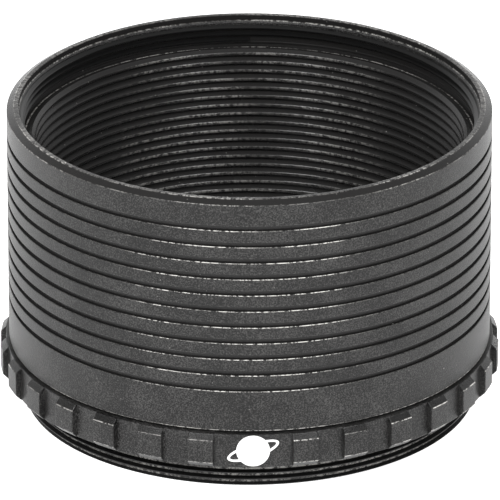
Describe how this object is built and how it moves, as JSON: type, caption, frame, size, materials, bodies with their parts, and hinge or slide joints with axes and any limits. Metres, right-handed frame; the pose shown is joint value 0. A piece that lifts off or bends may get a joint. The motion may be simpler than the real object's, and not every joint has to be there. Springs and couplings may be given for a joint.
{
  "type": "telescope extension tube with lock ring",
  "caption": "Short wide open tube with grip grooves outside and glare ribs inside, an inside thread on top, an outside thread below and a notched lock ring running on it.",
  "frame": {"origin": "centre of the lower rim, on the optical axis, at the face the tube stands on", "axes": "+Z along the optical axis towards the inside thread, -Y towards the printed mark on the lock ring"},
  "size_m": [0.0748, 0.0745, 0.0466],
  "materials": {
    "tube_anodised": "satin black anodised, bead blasted",
    "washer_black": "matte",
    "ring_anodised": "satin black anodised, bead blasted",
    "white_print": "matte print"
  },
  "bodies": {
    "barrel": {"tube": "tube_anodised"},
    "washer": {"slip_washer": "washer_black"},
    "ring": {"lock_ring": "ring_anodised", "front_mark": "white_print"}
  },
  "joints": [
    {"name": "washer_travel", "type": "slide", "parent": "barrel", "child": "washer", "axis": [0, 0, -1], "range_m": [0, 0.00325]},
    {"name": "ring_turn", "type": "hinge", "parent": "washer", "child": "ring", "pos_m": [0, 0, 0.00693], "axis": [0, 0, -1], "range_deg": [0, 1170]}
  ],
  "couplings": [
    {"joint": "washer_travel", "follows": "ring_turn", "m_per_rad": 0.00015915}
  ]
}
